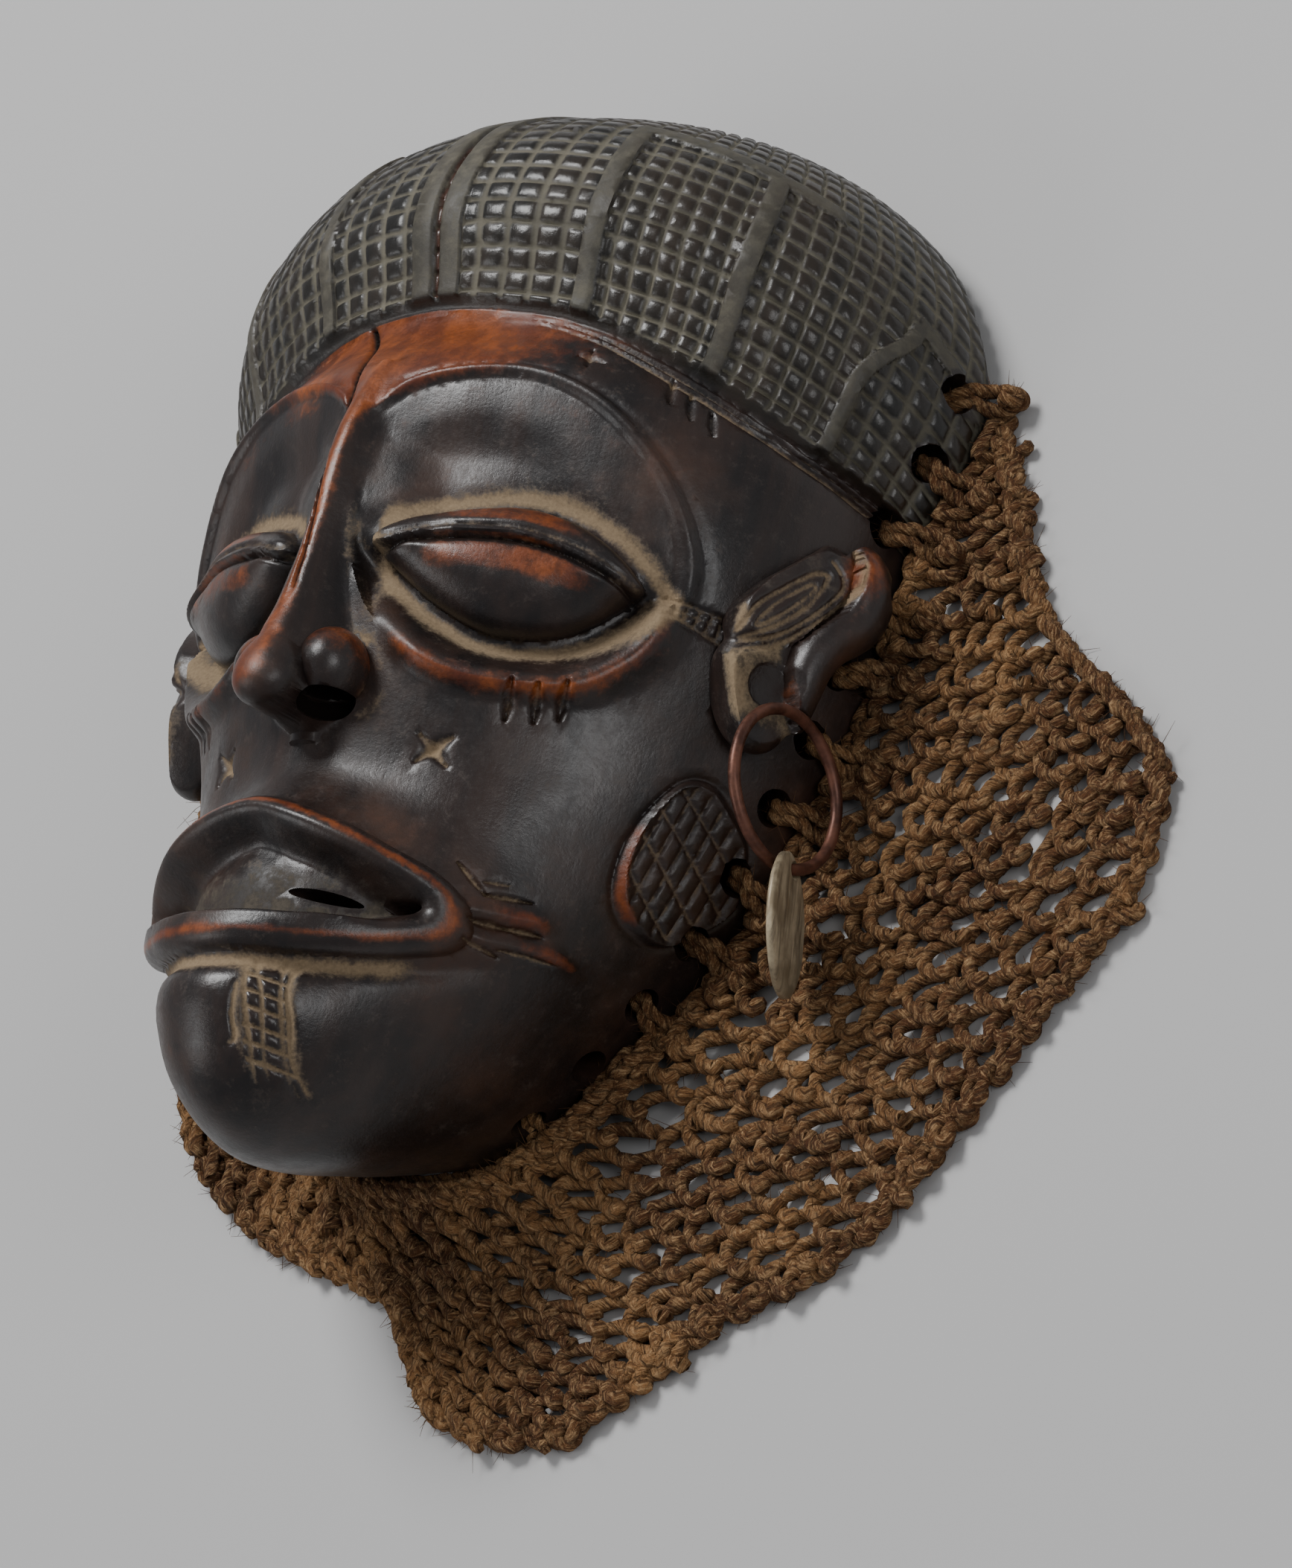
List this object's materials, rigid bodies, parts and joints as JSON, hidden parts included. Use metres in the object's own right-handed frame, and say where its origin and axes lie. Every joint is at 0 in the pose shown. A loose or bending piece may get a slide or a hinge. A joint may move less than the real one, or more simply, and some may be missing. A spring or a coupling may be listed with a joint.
{
  "type": "carved wooden face mask",
  "caption": "Carved wooden face mask with closed eyes, open mouth, cross-hatched cap of hair, ear ring with a disc, and a looped fibre net round the jaw.",
  "frame": {"origin": "on the table the mask lies on, under the middle of the bounding box of the whole", "axes": "+X towards the left side of the face, +Y from chin to crown, +Z out of the face"},
  "size_m": [0.2708, 0.3032, 0.0998],
  "materials": {
    "wood": "dark oiled patina, rubbed red on the high ridges",
    "copper_wire": "dull, browned",
    "worn_silver": "worn and scratched",
    "fibre": "matte twisted plant fibre"
  },
  "bodies": {
    "root": {"mask": "wood", "ear_ring": "copper_wire", "disc_pendant": "worn_silver", "net_hood": "fibre"}
  },
  "joints": []
}
